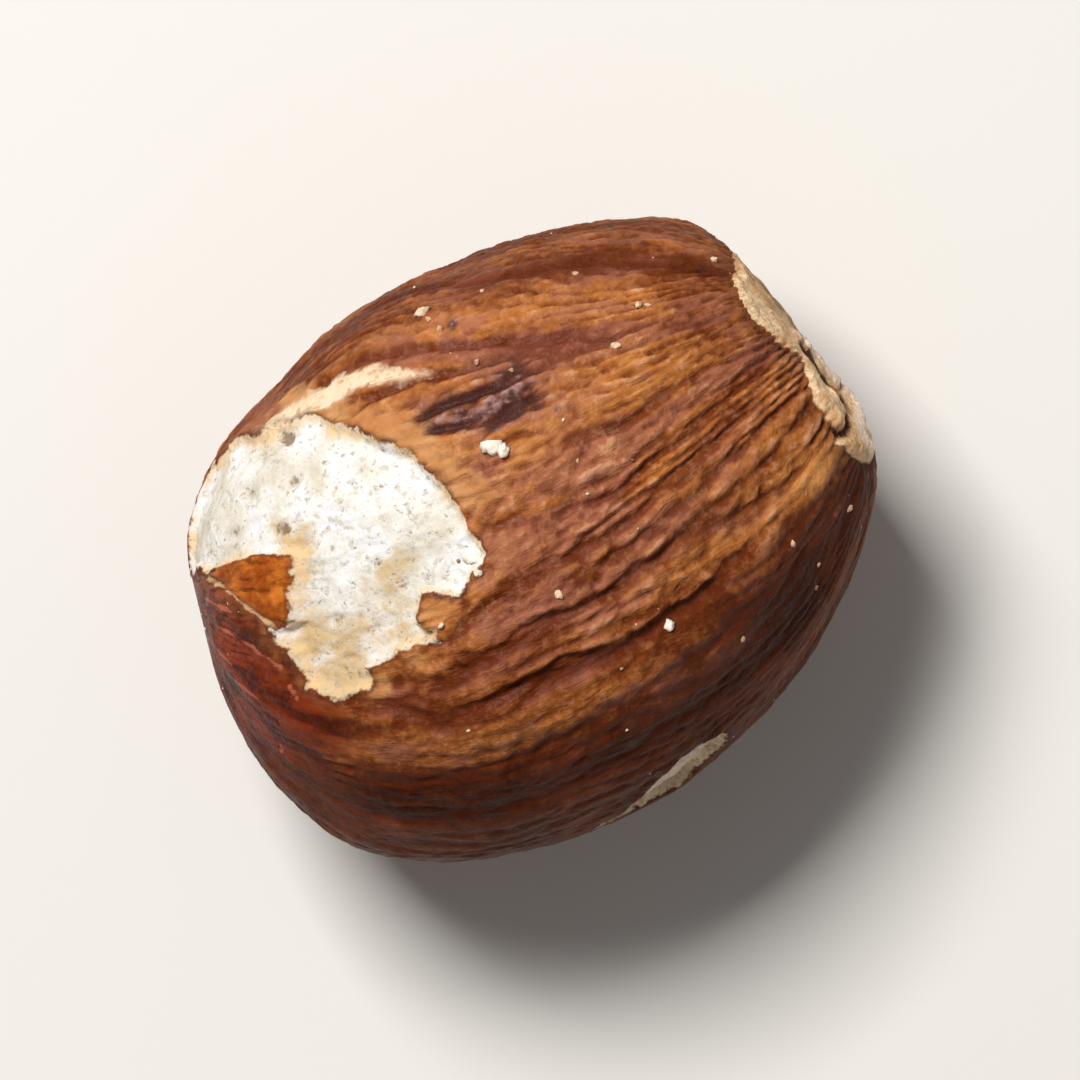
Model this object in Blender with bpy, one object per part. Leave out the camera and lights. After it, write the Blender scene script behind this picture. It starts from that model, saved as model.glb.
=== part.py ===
# Shelled hazelnut kernel in its brown skin, lying on its side on a small flat spot.
# The long axis runs along X with the pointed, crusted end at +X; +Z is up.
# The kernel grew as one piece, so it is one closed solid.

import math

import bmesh
import bpy
import numpy as np

MM = 0.001  # the formulas work in millimetres and the finished mesh is in metres

# Outline seen from above: distance from the centre every 15 degrees, counter-clockwise
# from +X, of the body before its end is cut blunt
PLAN_RADII = (
    7.32, 7.90, 8.10, 7.65, 6.92, 6.42, 6.12, 6.10, 6.22, 6.40, 6.92, 7.30,
    7.22, 7.37, 7.53, 7.52, 7.06, 6.50, 6.09, 5.88, 5.78, 5.90, 6.20, 6.68,
)
HALF_HEIGHT = 5.95        # centre to the top, before the flat spot is made
FULLNESS = 2.2            # exponent of the side curve: 2 is an ellipse, more is squarer
POINTED_TAPER = 0.24      # share of the height that is gone at the pointed end
POINTED_SPAN = (-0.5, 7.4)  # where along X that loss begins and is complete
BLUNT_TAPER = 0.07        # the same at the blunt end
BLUNT_SPAN = (0.5, 7.2)   # where along -X that loss begins and is complete

# Blunt oblique cap that ends the pointed side
CAP_TURN = 22.0           # degrees from +X towards +Y that the cap faces
CAP_RADIUS = 7.13         # centre to the middle of the cap
CAP_CURVE = 0.3           # 0 is a round cap, 1 is a flat one
CAP_CRISPNESS = 50        # how sharply the body turns into the cap
CAP_DISH = 0.07           # depth of the shallow dish inside the rim
CAP_FIBRES = 8            # faint rays in the dish
RIM_HEIGHT = 0.14         # corky crust that stands round the cap
RIM_SPREAD = 0.18         # overlap of cap and body at which the crust has faded

# Where the ridges meet, as a turn from the X axis towards +Y
POINTED_POLE_TURN = 22.0
BLUNT_POLE_TURN = 6.0

# Broad ridges and furrows that run from end to end: angle round the long axis in degrees
# (0 at +Y, 90 on top), half width in degrees, height in millimetres
RIDGES = (
    (36, 8, 0.10), (67, 9, 0.12), (127, 8, 0.15), (163, 7, 0.09), (188, 8, 0.12),
    (221, 9, 0.11), (252, 7, 0.13), (283, 9, 0.10), (312, 7, 0.13), (341, 8, 0.10),
    (13, 6, -0.09), (52, 4, -0.10), (88, 7, -0.08), (107, 4, -0.10), (116, 3, -0.12),
    (148, 7, -0.12), (175, 4, -0.10), (205, 5, -0.12), (237, 5, -0.10), (267, 5, -0.12),
    (298, 4, -0.11), (327, 4, -0.12),
)
RIB_COUNT = 29            # finer ribs between them
RIB_HEIGHT = 0.065
RIB_WANDER = 5.0          # degrees that a ridge strays from its line
RIB_FADE = (0.10, 0.68)   # sine of the angle from a pole, where ridges start and are full
SLOW_SWELL = 0.09         # slow unevenness of the whole surface

# Worn patch near the blunt end, where the skin is gone: outline seen from above
PATCH_OUTLINE = (
    (-4.1, 3.9), (-2.5, 2.9), (-1.6, 1.6), (-1.3, 0.0), (-2.7, -0.7), (-3.3, -1.5),
    (-4.6, -2.3), (-5.3, -1.6), (-5.5, 0.1), (-5.3, 1.5), (-6.7, 1.0), (-7.0, 2.1), (-5.9, 3.5),
)
PATCH_DEPTH = 0.20        # thickness of the missing skin
PATCH_STEP = 0.22         # width over which the skin falls to the patch

SPOT_DEPTH = 0.17         # how much of the underside the flat spot takes

# Mesh: meridians round the long axis, and rings that are closer together at the cap's rim
MERIDIANS = 126
RING_ANGLES = np.concatenate((
    np.linspace(0, 15, 4)[:-1],
    np.linspace(15, 29, 8)[:-1],
    np.linspace(29, 180, 32),
))


def ramp(value, low, high):
    """Smooth step from 0 at low to 1 at high."""
    share = np.clip((value - low) / (high - low), 0, 1)
    return share * share * (3 - 2 * share)


def plan_radius(angle):
    """Smooth closed curve through PLAN_RADII."""
    radii = np.array(PLAN_RADII)
    count = len(radii)
    place = (angle % math.tau) / math.tau * count
    index = np.floor(place).astype(int)
    part = place - index
    before, here, after, beyond = (radii[(index + step) % count] for step in (-1, 0, 1, 2))
    bend = 2 * before - 5 * here + 4 * after - beyond
    twist = 3 * (here - after) + beyond - before
    return here + 0.5 * part * (after - before + part * (bend + part * twist))


def directions(around, along):
    """Rays from the centre: around turns about the long axis, along goes from pole to pole.

    Both poles lean towards +Y, so the meridians gather where the kernel's ridges do.
    """
    forward = np.cos(along)
    lean = math.tan(math.radians(POINTED_POLE_TURN)) * ((1 + forward) / 2) ** 2
    lean = lean + math.tan(math.radians(BLUNT_POLE_TURN)) * ((1 - forward) / 2) ** 2
    rays = np.stack(
        (forward, np.sin(along) * np.cos(around) + lean, np.sin(along) * np.sin(around)), axis=-1
    )
    return rays / np.linalg.norm(rays, axis=-1, keepdims=True)


def form_radii(rays):
    """Radius of the smooth kernel along each ray, and how far the cap cuts into the body."""
    level = np.hypot(rays[..., 0], rays[..., 1])
    outline = plan_radius(np.arctan2(rays[..., 1], rays[..., 0]))
    body = (level / outline) ** FULLNESS + (np.abs(rays[..., 2]) / HALF_HEIGHT) ** FULLNESS
    body = body ** (-1 / FULLNESS)
    turn = math.radians(CAP_TURN)
    facing = rays[..., 0] * math.cos(turn) + rays[..., 1] * math.sin(turn)
    cap = CAP_RADIUS * np.clip(facing, 0.2, 1) ** -CAP_CURVE
    cap = np.where(facing > 0.2, cap, 100)
    both = (body ** -CAP_CRISPNESS + cap ** -CAP_CRISPNESS) ** (-1 / CAP_CRISPNESS)
    return both, body - cap


def ridge_relief(around, along):
    """Height of the ridges, furrows and finer ribs, which die away at both poles."""
    strayed = around + math.radians(RIB_WANDER) * (
        0.6 * np.sin(2.3 * along + 1.3 * np.sin(around)) + 0.4 * np.sin(5.1 * along + 2 * around)
    )
    relief = np.zeros_like(around)
    for centre, half_width, height in RIDGES:
        offset = (strayed - math.radians(centre) + math.pi) % math.tau - math.pi
        relief += height * np.exp(-((offset / math.radians(half_width)) ** 2))
    swell = 0.5 + 0.5 * np.sin(3 * around + 2 * along)
    relief += RIB_HEIGHT * (0.6 + 0.4 * swell) * np.cos(RIB_COUNT * strayed + 2 * np.sin(3 * along))
    relief += SLOW_SWELL * np.sin(2 * around + 1.1) * np.sin(2 * along)
    return relief * ramp(np.sin(along), *RIB_FADE)


def cap_relief(around, overlap):
    """Height of the crust round the cap and of the shallow dish inside it.

    overlap is zero on the cap's edge and grows towards its middle.
    """
    ragged = 0.75 + 0.25 * np.sin(9 * around + 0.8) * np.sin(4 * around + 2.1)
    rim = RIM_HEIGHT * ragged * np.exp(-((overlap / RIM_SPREAD) ** 2))
    fibres = 0.6 + 0.4 * np.sin(CAP_FIBRES * around + 1.7)
    dish = CAP_DISH * fibres * ramp(overlap, 0.1, 0.45) * (1 - ramp(overlap, 0.7, 0.92))
    return rim - dish


def patch_distance(x, y):
    """Distance to the worn patch's outline seen from above, negative inside it."""
    nearest = np.full(x.shape, 100.0)
    inside = np.zeros(x.shape, bool)
    ends = PATCH_OUTLINE[1:] + PATCH_OUTLINE[:1]
    for (ax, ay), (bx, by) in zip(PATCH_OUTLINE, ends):
        dx, dy = bx - ax, by - ay
        share = np.clip(((x - ax) * dx + (y - ay) * dy) / (dx * dx + dy * dy), 0, 1)
        nearest = np.minimum(nearest, np.hypot(x - ax - share * dx, y - ay - share * dy))
        crosses = (ay > y) != (by > y)
        at_x = ax + (y - ay) * dx / (dy if dy else 1e-9)
        inside ^= crosses & (x < at_x)
    return np.where(inside, -nearest, nearest)


def kernel_points(around, along):
    """Points of the whole kernel, in millimetres about its centre."""
    rays = directions(around, along)
    radius, overlap = form_radii(rays)
    on_body = 1 - ramp(overlap, -0.12, 0.05)
    smooth = rays * radius[..., None]
    bare = ramp(-patch_distance(smooth[..., 0], smooth[..., 1]), 0, PATCH_STEP)
    bare = bare * ramp(smooth[..., 2], 0, 0.6)
    relief = ridge_relief(around, along) * on_body * (1 - 0.8 * bare)
    relief = relief + cap_relief(around, overlap) - PATCH_DEPTH * bare
    points = rays * (radius + relief)[..., None]
    x = points[..., 0]
    taper = 1 - POINTED_TAPER * ramp(x, *POINTED_SPAN) - BLUNT_TAPER * ramp(-x, *BLUNT_SPAN)
    points[..., 2] = points[..., 2] * taper
    return points


def rest_on_spot(points):
    """Press the underside flat, and put the box's middle on the Z axis and its foot at 0."""
    floor = SPOT_DEPTH - HALF_HEIGHT
    points[:, 2] = np.maximum(points[:, 2], floor) - floor
    middle = (points[:, :2].min(axis=0) + points[:, :2].max(axis=0)) / 2
    points[:, :2] -= middle
    return points


def kernel_mesh():
    """Rings of points from pole to pole, joined by quads and closed by a fan at each pole."""
    around = np.arange(MERIDIANS) * math.tau / MERIDIANS
    along = np.radians(RING_ANGLES[1:-1])
    grid = kernel_points(*np.meshgrid(around, along)).reshape(-1, 3)
    poles = kernel_points(np.zeros(2), np.radians(RING_ANGLES[[0, -1]]))
    points = rest_on_spot(np.concatenate((grid, poles))) * MM

    shape = bmesh.new()
    corners = [shape.verts.new(point) for point in points]
    rings = len(along)
    tip, butt = corners[-2], corners[-1]
    for step in range(MERIDIANS):
        beside = (step + 1) % MERIDIANS
        shape.faces.new((tip, corners[step], corners[beside]))
        for ring in range(rings - 1):
            near, far = ring * MERIDIANS, (ring + 1) * MERIDIANS
            shape.faces.new(
                (corners[near + step], corners[far + step], corners[far + beside], corners[near + beside])
            )
        last = (rings - 1) * MERIDIANS
        shape.faces.new((butt, corners[last + beside], corners[last + step]))
    bmesh.ops.recalc_face_normals(shape, faces=shape.faces)
    bmesh.ops.triangulate(shape, faces=shape.faces)
    mesh = bpy.data.meshes.new("kernel")
    shape.to_mesh(mesh)
    shape.free()
    mesh.shade_smooth()
    return mesh


def skin_material():
    """Satin red-brown skin."""
    material = bpy.data.materials.new("skin")
    material.use_nodes = True
    shader = material.node_tree.nodes["Principled BSDF"]
    shader.inputs["Base Color"].default_value = (0.24, 0.085, 0.03, 1)
    shader.inputs["Roughness"].default_value = 0.48
    shader.inputs["Metallic"].default_value = 0.0
    return material


def clear_scene():
    for thing in list(bpy.data.objects):
        bpy.data.objects.remove(thing, do_unlink=True)


def build():
    clear_scene()
    kernel = bpy.data.objects.new("kernel", kernel_mesh())
    kernel.data.materials.append(skin_material())
    bpy.context.scene.collection.objects.link(kernel)


build()
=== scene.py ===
import itertools
import math

import bpy
import numpy as np
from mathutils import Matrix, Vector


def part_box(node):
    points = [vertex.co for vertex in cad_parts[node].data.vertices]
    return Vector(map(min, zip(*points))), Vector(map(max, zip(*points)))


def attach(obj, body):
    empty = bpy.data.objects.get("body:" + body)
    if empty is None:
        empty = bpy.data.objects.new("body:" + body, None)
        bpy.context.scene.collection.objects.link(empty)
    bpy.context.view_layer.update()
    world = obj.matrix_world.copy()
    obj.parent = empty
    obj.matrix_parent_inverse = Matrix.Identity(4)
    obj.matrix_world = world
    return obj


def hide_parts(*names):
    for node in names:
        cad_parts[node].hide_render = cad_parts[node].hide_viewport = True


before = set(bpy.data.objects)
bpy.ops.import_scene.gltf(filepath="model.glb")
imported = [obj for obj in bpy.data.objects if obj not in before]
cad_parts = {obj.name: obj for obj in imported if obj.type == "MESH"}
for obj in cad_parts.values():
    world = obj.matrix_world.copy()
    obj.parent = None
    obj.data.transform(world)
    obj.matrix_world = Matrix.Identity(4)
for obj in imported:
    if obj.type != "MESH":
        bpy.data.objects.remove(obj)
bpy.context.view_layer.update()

mm = 0.001  # shapes are worked out in millimetres, meshes are in metres

# The kernel's form, the same as the solid's: x towards the pointed end, z up
form = {
    "planRadii": (  # outline from above, every 15 degrees from +x, before the end is cut
        7.32, 7.9, 8.1, 7.65, 6.92, 6.42, 6.12, 6.1, 6.22, 6.4, 6.92, 7.3,
        7.22, 7.37, 7.53, 7.52, 7.06, 6.5, 6.09, 5.88, 5.78, 5.9, 6.2, 6.68),
    "halfHeight": 5.95,
    "fullness": 2.2,  # exponent of the side curve, 2 is an ellipse
    "pointedTaper": 0.24,  # share of the height lost at the pointed end
    "pointedSpan": (-0.5, 7.4),  # where along x that loss begins and is complete
    "bluntTaper": 0.07,
    "bluntSpan": (0.5, 7.2),
    "capTurn": 22,  # degrees from +x that the oblique cap faces
    "capRadius": 7.13,
    "capCurve": 0.3,
    "capCrispness": 50,
    "pointedPoleTurn": 22,  # where the ridges meet at each end
    "bluntPoleTurn": 6,
    "spotDepth": 0.17,
}

relief = {
    # broad ridges and furrows: angle round the nut (0 at +y, 90 on top), half width, height
    "ridges": (
        (36, 8, 0.07), (67, 9, 0.08), (128, 6, 0.12), (163, 8, 0.05), (190, 8, 0.08),
        (221, 9, 0.11), (252, 7, 0.13), (283, 9, 0.1), (312, 7, 0.13), (341, 8, 0.1),
        (13, 6, -0.05), (52, 4, -0.05), (88, 7, -0.05), (148, 7, -0.05), (175, 5, -0.04),
        (205, 5, -0.1), (237, 5, -0.1), (267, 5, -0.12), (298, 4, -0.11), (327, 4, -0.12)),
    "ribCount": 29, "ribHeight": 0.015,
    "pleatCount": 112, "pleatHeight": 0.042,  # fine parallel pleats
    "wander": 5,  # degrees by which the ridges stray
    "slowSwell": 0.09,
    "fade": (0.1, 0.68),  # where the relief comes in from each end, as sines of along
    "fineFade": (0.03, 0.4),
    # sharp furrows and, where the depth is negative, thin crests on the upper side: a curve
    # of (degrees along, 0 at the pointed end; angle round), half width, depth
    "furrows": (
        (((58, 123), (74, 124.5), (86, 124), (101, 123), (106, 125), (114, 126), (122, 122)), 1.5, 0.12),
        (((38, 119), (48, 117), (64, 112), (82, 112), (100, 115), (110, 117)), 1.5, 0.12),
        (((40, 89), (50, 90), (66, 94), (84, 94), (103, 91)), 1.5, 0.09),
        (((44, 95), (53, 98), (70, 101), (87, 102), (102, 106), (111, 110)), 1.5, 0.1),
        (((33, 101), (50, 103), (58, 106), (77, 106), (86, 108)), 1.4, 0.09),
        (((34, 109), (52, 110), (69, 112), (78, 113)), 1.2, 0.07),
        (((66, 63), (82, 63), (99, 64), (111, 65)), 1.3, 0.1),
        (((80, 70), (93, 72), (106, 69)), 1.2, 0.09),
        (((70, 58), (78, 58), (98, 49), (115, 42)), 1.3, 0.11),
        (((80, 60), (97, 56), (115, 53), (125, 50)), 1.2, 0.1),
        (((47, 70), (56, 65), (66, 62), (80, 56)), 1.2, 0.08),
        (((48, 81), (64, 83), (82, 82)), 1.2, 0.08),
        (((46, 48), (66, 40), (92, 31), (112, 12)), 1.3, 0.07),
        (((60, 134), (84, 134), (110, 138), (130, 139)), 1.4, 0.06),
        (((52, 152), (76, 146), (104, 149), (132, 150)), 1.5, 0.05),
        (((56, 121.4), (78, 121.6), (94, 120), (112, 121.5)), 0.9, -0.07),
        (((75, 96), (80, 98), (87, 101)), 1.2, -0.08),
        (((72, 87), (80, 90)), 1.2, -0.07),
        (((62, 109), (74, 109.5), (88, 111)), 0.9, -0.05)),
    # how the wrinkles turn towards each end, in degrees by angle round the nut
    "turnPointed": (
        (0, 6), (30, 14), (55, 13), (66, 8), (80, 0), (94, -3), (103, -4), (113, 1), (124, 4),
        (132, 9), (142, 12), (160, 9), (190, 0), (300, 0)),
    "turnBlunt": (
        (0, -9), (34, -14), (48, -8), (64, -2), (80, 0), (94, -1), (102, 3), (113, 3),
        (130, 2), (180, 0), (300, 0)),
    # how strong the wrinkles are by angle round the nut
    "strength": (
        (0, 0.6), (40, 0.65), (62, 0.9), (85, 1.05), (118, 1.1), (128, 0.65), (142, 0.5),
        (190, 0.5), (230, 0.8), (300, 0.85), (340, 0.65)),
    "swells": (0.8, 2, 0.03),  # soft lumps under the wrinkles: across, along, height
    "wrinkles": (  # ridges with sharp valleys: size across, size along, height
        (0.45, 1, 0.07), (0.25, 0.42, 0.05)),
    "sharpness": 2.4,  # of those valleys
    "beads": (0.17, 0.26, 0.024),  # grainy unevenness along the ridges
    "pleatWaves": ((1.4, 1.4, 3.4), (0.5, 0.5, 1)),  # sizes of the waves in the pleats
    "pleatPatches": (1.6, 1.6, 2.2),  # size of the patches where the pleats are strong
    "fullFold": 0.09,  # the height or depth at which a fold has its full colour
    "warp": (((0.4, 0.4, 0.5), 0.5), ((1.1, 1.1, 1.2), 0.14)),  # how fine, how far
    # noises in layers: how fine, amount, seed
    "waver": (((0.4, 0.4, 0.7), 1.6, 3), (1.6, 0.8, 4)),
    "ragged": ((1.4, 0.12, 31), (3.6, 0.07, 32)),
}
# furrows of the underside, placed by a rule, in degrees and millimetres
hidden = {
    "count": 26, "between": (196, 362), "starts": (24, 60), "lengths": (55, 100), "drift": 5,
    "halfWidths": (1, 1.6), "depths": (0.04, 0.11),
}

tones = {
    # bands of paler and darker skin: a curve of (degrees along, angle round), half width in
    # degrees, how much paler (darker where negative), and how violet
    "stripes": (
        (((32, 127), (46, 120), (60, 117), (78, 114.5)), 3.9, 0.21, 0),
        (((26, 128), (33, 125), (42, 120)), 7, 0.28, 0),
        (((74, 131), (84, 131), (102, 133), (119, 133.5), (142, 134)), 5.3, 0.17, 0),
        (((90, 115), (102, 118), (118, 120), (140, 121)), 6.5, -0.16, 0),
        (((58, 75), (64, 74), (80, 77), (94, 82)), 6.5, 0.15, 0),
        (((50, 59), (58, 54), (73, 49), (88, 46), (98, 45), (114, 36)), 3.6, 0.12, 0),
        (((48, 155), (62, 147), (76, 143), (104, 145), (132, 145)), 6, -0.1, 0.5),
        (((38, 53), (46, 47), (66, 40), (92, 30), (112, 9)), 4.5, -0.12, 0.2),
        (((47, 70), (66, 62), (80, 56), (102, 48)), 2.6, -0.04, 0.4),
        (((36, 84), (64, 86), (86, 85), (98, 81)), 3, -0.03, 0.7),
        (((64, 62), (78, 60), (96, 52), (112, 44)), 4, 0, 0.7),
        (((32, 94), (38, 84), (44, 74), (52, 62)), 11, -0.19, 0),
        (((84, 106), (92, 107), (100, 109)), 3.8, -0.17, 0),
        (((52, 98), (60, 98.5), (70, 98)), 3, 0.08, 0),
        (((74, 112), (90, 112), (104, 108)), 4, 0, 0.5),
        (((44, 104), (80, 104), (106, 100)), 13, 0, 0.25),
        (((66, 90), (78, 86), (88, 85), (100, 84)), 12, 0, 0.8),
        (((76, 64), (86, 61), (96, 57)), 7, 0, 0.5),
        # and on the underside
        (((30, 208), (90, 212), (150, 206)), 6, 0.12, 0),
        (((35, 246), (90, 250), (145, 252)), 7, 0.12, 0),
        (((30, 300), (90, 296), (150, 300)), 7, 0.14, 0),
        (((35, 336), (90, 332), (150, 330)), 6, 0.1, 0),
        (((30, 230), (90, 232), (150, 228)), 5, -0.1, 0.5),
        (((35, 274), (90, 272), (150, 276)), 6, -0.12, 0.4),
        (((30, 318), (90, 315), (150, 316)), 5, -0.1, 0.5)),
    # how pale the skin is between the bands: by angle round the nut, and at both ends; the low values
    # from 120 to 180 degrees, on the lower flank, are partly painted shade
    "byAngle": (
        (0, 0.29), (30, 0.29), (60, 0.39), (76, 0.45), (90, 0.52), (106, 0.52), (120, 0.36),
        (134, 0.21), (150, 0.15), (180, 0.16), (215, 0.3), (260, 0.42), (310, 0.42), (340, 0.36)),
    "ends": 0.3,
    "bandFade": (0.08, 0.42),  # where the bands run out at the ends, as sines of along
    "ridgeLift": 0.4,  # how much paler a broad ridge is for each millimetre
    "stray": 0.35,  # how much of the raggedness the bands' edges have
    "clouds": (((0.5, 0.5, 0.3), 0.14, 41),),
}

# the marks, drawn from above in millimetres; "ragged" is how much raggedness an edge has
patch = {
    "outline": (
        (-4, 3.75), (-3.45, 3.35), (-2.55, 2.7), (-2.1, 2.35), (-1.5, 1.3), (-1.25, 0.4),
        (-1.1, -0.05), (-1.85, -0.7), (-2.55, -0.5), (-2.8, -0.85), (-2.85, -1.1), (-2.42, -1.23),
        (-2.48, -1.5), (-3.2, -1.47), (-4, -1.7), (-4.05, -2.1), (-4.85, -2.15), (-5.2, -1.75),
        (-5.45, -1.1), (-5.72, -0.45), (-5.22, -0.42), (-5.14, 0.12), (-5, 0.86), (-5.3, 1.02),
        (-5.85, 1.08), (-6.75, 1), (-7.3, 1.2), (-7.5, 2.2), (-6.8, 3), (-5.6, 3.55)),
    "raised": 0.2,  # how much higher than the other marks it ends on the side
    "sideNoise": ((0.8, 0.5, 35),),
    "depth": 0.2,
    "step": 0.13,  # width of the slope into it
    "lip": 0.03, "lipPlace": 0.06, "lipWidth": 0.09,  # how the torn edge of the skin stands up
    "lumps": ((2.6, 0.045, 51), (5.2, 0.04, 52), (0.9, 0.06, 53)),
    "skinShows": 0.15,  # share of the skin's relief that goes on in the flesh
    "creamy": (  # yellower flesh: x, y, reach, amount
        (-3.9, 1.2, 0.6, 0.35), (-3.3, 0.1, 0.6, 0.55), (-3.7, -1.25, 0.9, 0.95),
        (-5, 1.25, 0.6, 0.7), (-5.3, -1, 0.7, 1.2), (-4.6, -1.9, 1, 1.5),
        (-5.2, -0.1, 0.35, 0.8), (-2.6, -1.35, 0.35, 1.2), (-4.9, 0.5, 0.3, 0.7),
        (-4.3, -0.75, 0.4, 0.5)),
    "pits": (  # dents in the bare flesh: x, y, half width, depth
        (-4.68, 3.45, 0.17, 0.1), (-4.73, 2.49, 0.12, 0.08), (-5.7, 2.45, 0.2, 0.06),
        (-3.47, 2.05, 0.12, 0.05), (-5.21, 1.55, 0.14, 0.1), (-5.26, 3.2, 0.13, 0.06),
        (-2.67, 0.77, 0.12, 0.06), (-3.41, 0.39, 0.12, 0.07), (-3.9, 1.64, 0.11, 0.05),
        (-2.35, 1.5, 0.1, 0.04), (-4.3, 0.9, 0.1, 0.05), (-3, -0.2, 0.12, 0.05),
        (-4.5, -0.6, 0.15, 0.05), (-3.9, -1, 0.12, 0.05), (-6.2, 1.75, 0.13, 0.05)),
    "pitRagged": 0.6,
}
# a flap of amber skin that stands over the patch
flake = {
    "outline": ((-6.75, 0.95), (-6.4, 1.14), (-5.7, 1.16), (-4.98, 0.9), (-5.12, -0.3),
                (-5.35, -0.45), (-5.85, -0.15)),
    "ragged": 0.4, "rise": 0.13, "step": (-0.02, 0.1),
}
# a long pale streak where the skin is torn, its depth a share of the patch's
streak = {
    "outline": (
        (-5.3, 3.5), (-4.6, 3.85), (-4, 4.05), (-3.3, 4.22), (-2.6, 4.3), (-2, 4.18),
        (-1.2, 3.92), (-1.65, 3.86), (-2.2, 3.92), (-2.8, 3.95), (-3.35, 3.88), (-3.95, 3.72),
        (-4.5, 3.55), (-5, 3.35)),
    "ragged": 0.5, "depthShare": 0.35, "step": 0.15,
}
# a thin split in the skin beside the flake
tear = {
    "line": ((-6.82, 0.88), (-6.3, 0.4), (-5.85, -0.2), (-5.6, -0.5)),
    "halfWidth": 0.05, "ragged": 0.2,
}
# pale streaks of painted highlight on the shiny red skin beside the patch
glintStreaks = {
    "lines": (
        ((-6.9, -0.1), (-6.3, -0.65), (-5.75, -1.25)), ((-7.2, -0.3), (-6.75, -0.95)),
        ((-5.65, -1.65), (-5.5, -2)), ((-6, -2.3), (-6.25, -3)), ((-7, 0.5), (-6.5, 0.1)),
        ((-6.75, -1.3), (-6.3, -1.75))),
    "halfWidth": 0.035, "ragged": 0.25,
}
# where the skin is so thin that the flesh shows through as tan
thinSkin = {
    "line": ((-4.1, 4.05), (-3.1, 3.55), (-2.25, 2.85), (-1.5, 2.1), (-0.95, 1.2)),
    "reach": 0.48,
    "spots": (  # x, y, reach, amount
        (-2.3, -0.9, 0.38, 1), (-2.95, -1.75, 0.3, 1), (-3.8, -2.2, 0.3, 1)),
    "spotRagged": 1.5,
}
# deep red skin below the patch
redZone = {
    "outline": ((-7.4, 0.8), (-6.75, 0.95), (-5.9, -0.1), (-5.5, -1.25), (-5.05, -2.15),
                (-4.2, -2.9), (-5.55, -3.3), (-7.2, -2.8)),
    "ragged": 2,
    "step": (-0.5, 0.45),
    "heights": (-4.5, -1),  # between which it comes in
}
# a dark smudge: a soft band between two points, and dots near it
smudge = {
    "from": (-2.3, 2.75), "to": (0.8, 3.1), "halfWidth": 0.62,
    "start": (-0.5, 1.4),  # where it comes in and goes out, from each of its ends
    "stop": (-0.6, 0.5),
    "dots": (  # x, y, reach, amount
        (1.04, 2.52, 0.1, 1), (-2.5, 2.68, 0.14, 1), (-1.55, 1.6, 0.1, 1), (-0.62, 4.72, 0.15, 1)),
}
# a bare sliver low on one side, drawn in degrees along and round
sliver = {
    "outline": ((66.5, 163), (68, 160), (72, 158.5), (76, 158), (80, 160), (83.5, 163), (87, 167),
                (91, 172), (93, 177), (86, 176), (82, 177.5), (77, 179.5), (73, 177), (70, 172),
                (67.5, 168)),
    "perDegree": 0.11,  # millimetres to a degree there
    "ragged": 0.12,
    "uneven": ((0.9, 0.1, 42),),
}

# where the skin ends and the pale crust of the pointed end begins: angle round the nut,
# and how far the end cap cuts into the body there
crust = {
    "edge": (
        (0, 0.3), (30, 0.42), (48, 0.38), (58, 0.14), (64, 0.08), (71, 0.08), (77, 0.2), (83, 0.27),
        (88, 0.42), (92, 0.48), (96, 0.42), (100, 0.24), (106, 0.06), (113, 0.02), (119, -0.05),
        (123, -0.2), (130, -0.16), (146, -0.07), (156, 0), (168, 0.08), (220, 0.2), (280, 0.1),
        (330, 0.2)),
    "edgeStep": (-0.04, 0.03),
    "edgeNoise": ((1.1, 0.05, 33), (3.1, 0.03, 34)),
    "heart": (0.8, 0.3),  # where it turns browner, and how much sooner on the lower half
    "heartNoise": ((0.9, 0.14, 65),),
    # in space: a line, half width, depth (a lump where negative), and how dark its painted shade is
    "cracks": (
        (((6.42, 2.5, 2.2), (6.5, 2.29, 2.2), (6.59, 1.96, 2.3), (6.77, 1.6, 1.95),
          (6.93, 1.29, 1.6)), 0.23, 0.06, 1),
        (((6.93, 1.29, 1.6), (6.9, 0.88, 2.1), (6.73, 0.61, 2.8), (6.53, 0.66, 3.2),
          (6.42, 0.85, 3.35)), 0.11, 0.15, 1),
        (((6.42, 2.5, 2.2), (6.4, 2.85, 1.7), (6.5, 3, 1)), 0.07, 0.08, 0.5),
        (((6.85, 1.45, 1.75), (6.95, 1.55, 1.1), (6.9, 1.8, 0.4)), 0.06, 0.08, 0.5),
        (((6.5, 3.1, -0.2), (6.1, 3.7, -0.8), (5.7, 4.1, -1.9)), 0.08, 0.1, 0.5),
        (((6.8, 1.9, -1.1), (6.8, 1.5, -1.9), (6.6, 1.4, -2.7)), 0.07, 0.1, 0.45),
        (((6.3, 3.4, 0.6), (6, 3.9, 0.9), (5.7, 4.3, 1.6)), 0.06, 0.08, 0.4),
        (((6.64, 1.35, 2.5), (6.6, 0.95, 2.95)), 0.28, -0.1, 0)),
    "crackRagged": 0.5,
    "crackNoise": ((1.9, 0.6, 81),),  # how the cracks widen and narrow
    "strand": ((6.4, 2.75, 1.8), (6.67, 2.27, 1.35), (6.83, 1.84, 1.2), (7.02, 1.38, 0.55),
               (7.09, 0.99, 0.8), (7.03, 0.53, 1.8), (7.1, 0.2, 1.4)),
    "strandRagged": 0.6, "strandWidth": 0.26, "strandRise": 0.12,
    "lip": 0.06, "lipPlace": 0.08, "lipWidth": 0.12,  # how its edge stands over the skin
    "lumps": ((0.9, 0.12, 61), (2.6, 0.06, 62), (6.5, 0.025, 64)),
    "spokes": 19, "spokeHeight": 0.015,
    "hollow": 0.12,  # how far the middle of the face sinks
}


def tint(red, green, blue):
    # a screen colour, 0 to 255, as linear light
    return tuple(((value / 255 + 0.055) / 1.055) ** 2.4 for value in (red, green, blue)) + (1,)


def ramp(value, low, high):
    # smooth step from 0 at low to 1 at high
    share = np.clip((value - low) / (high - low), 0, 1)
    return share * share * (3 - 2 * share)


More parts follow.
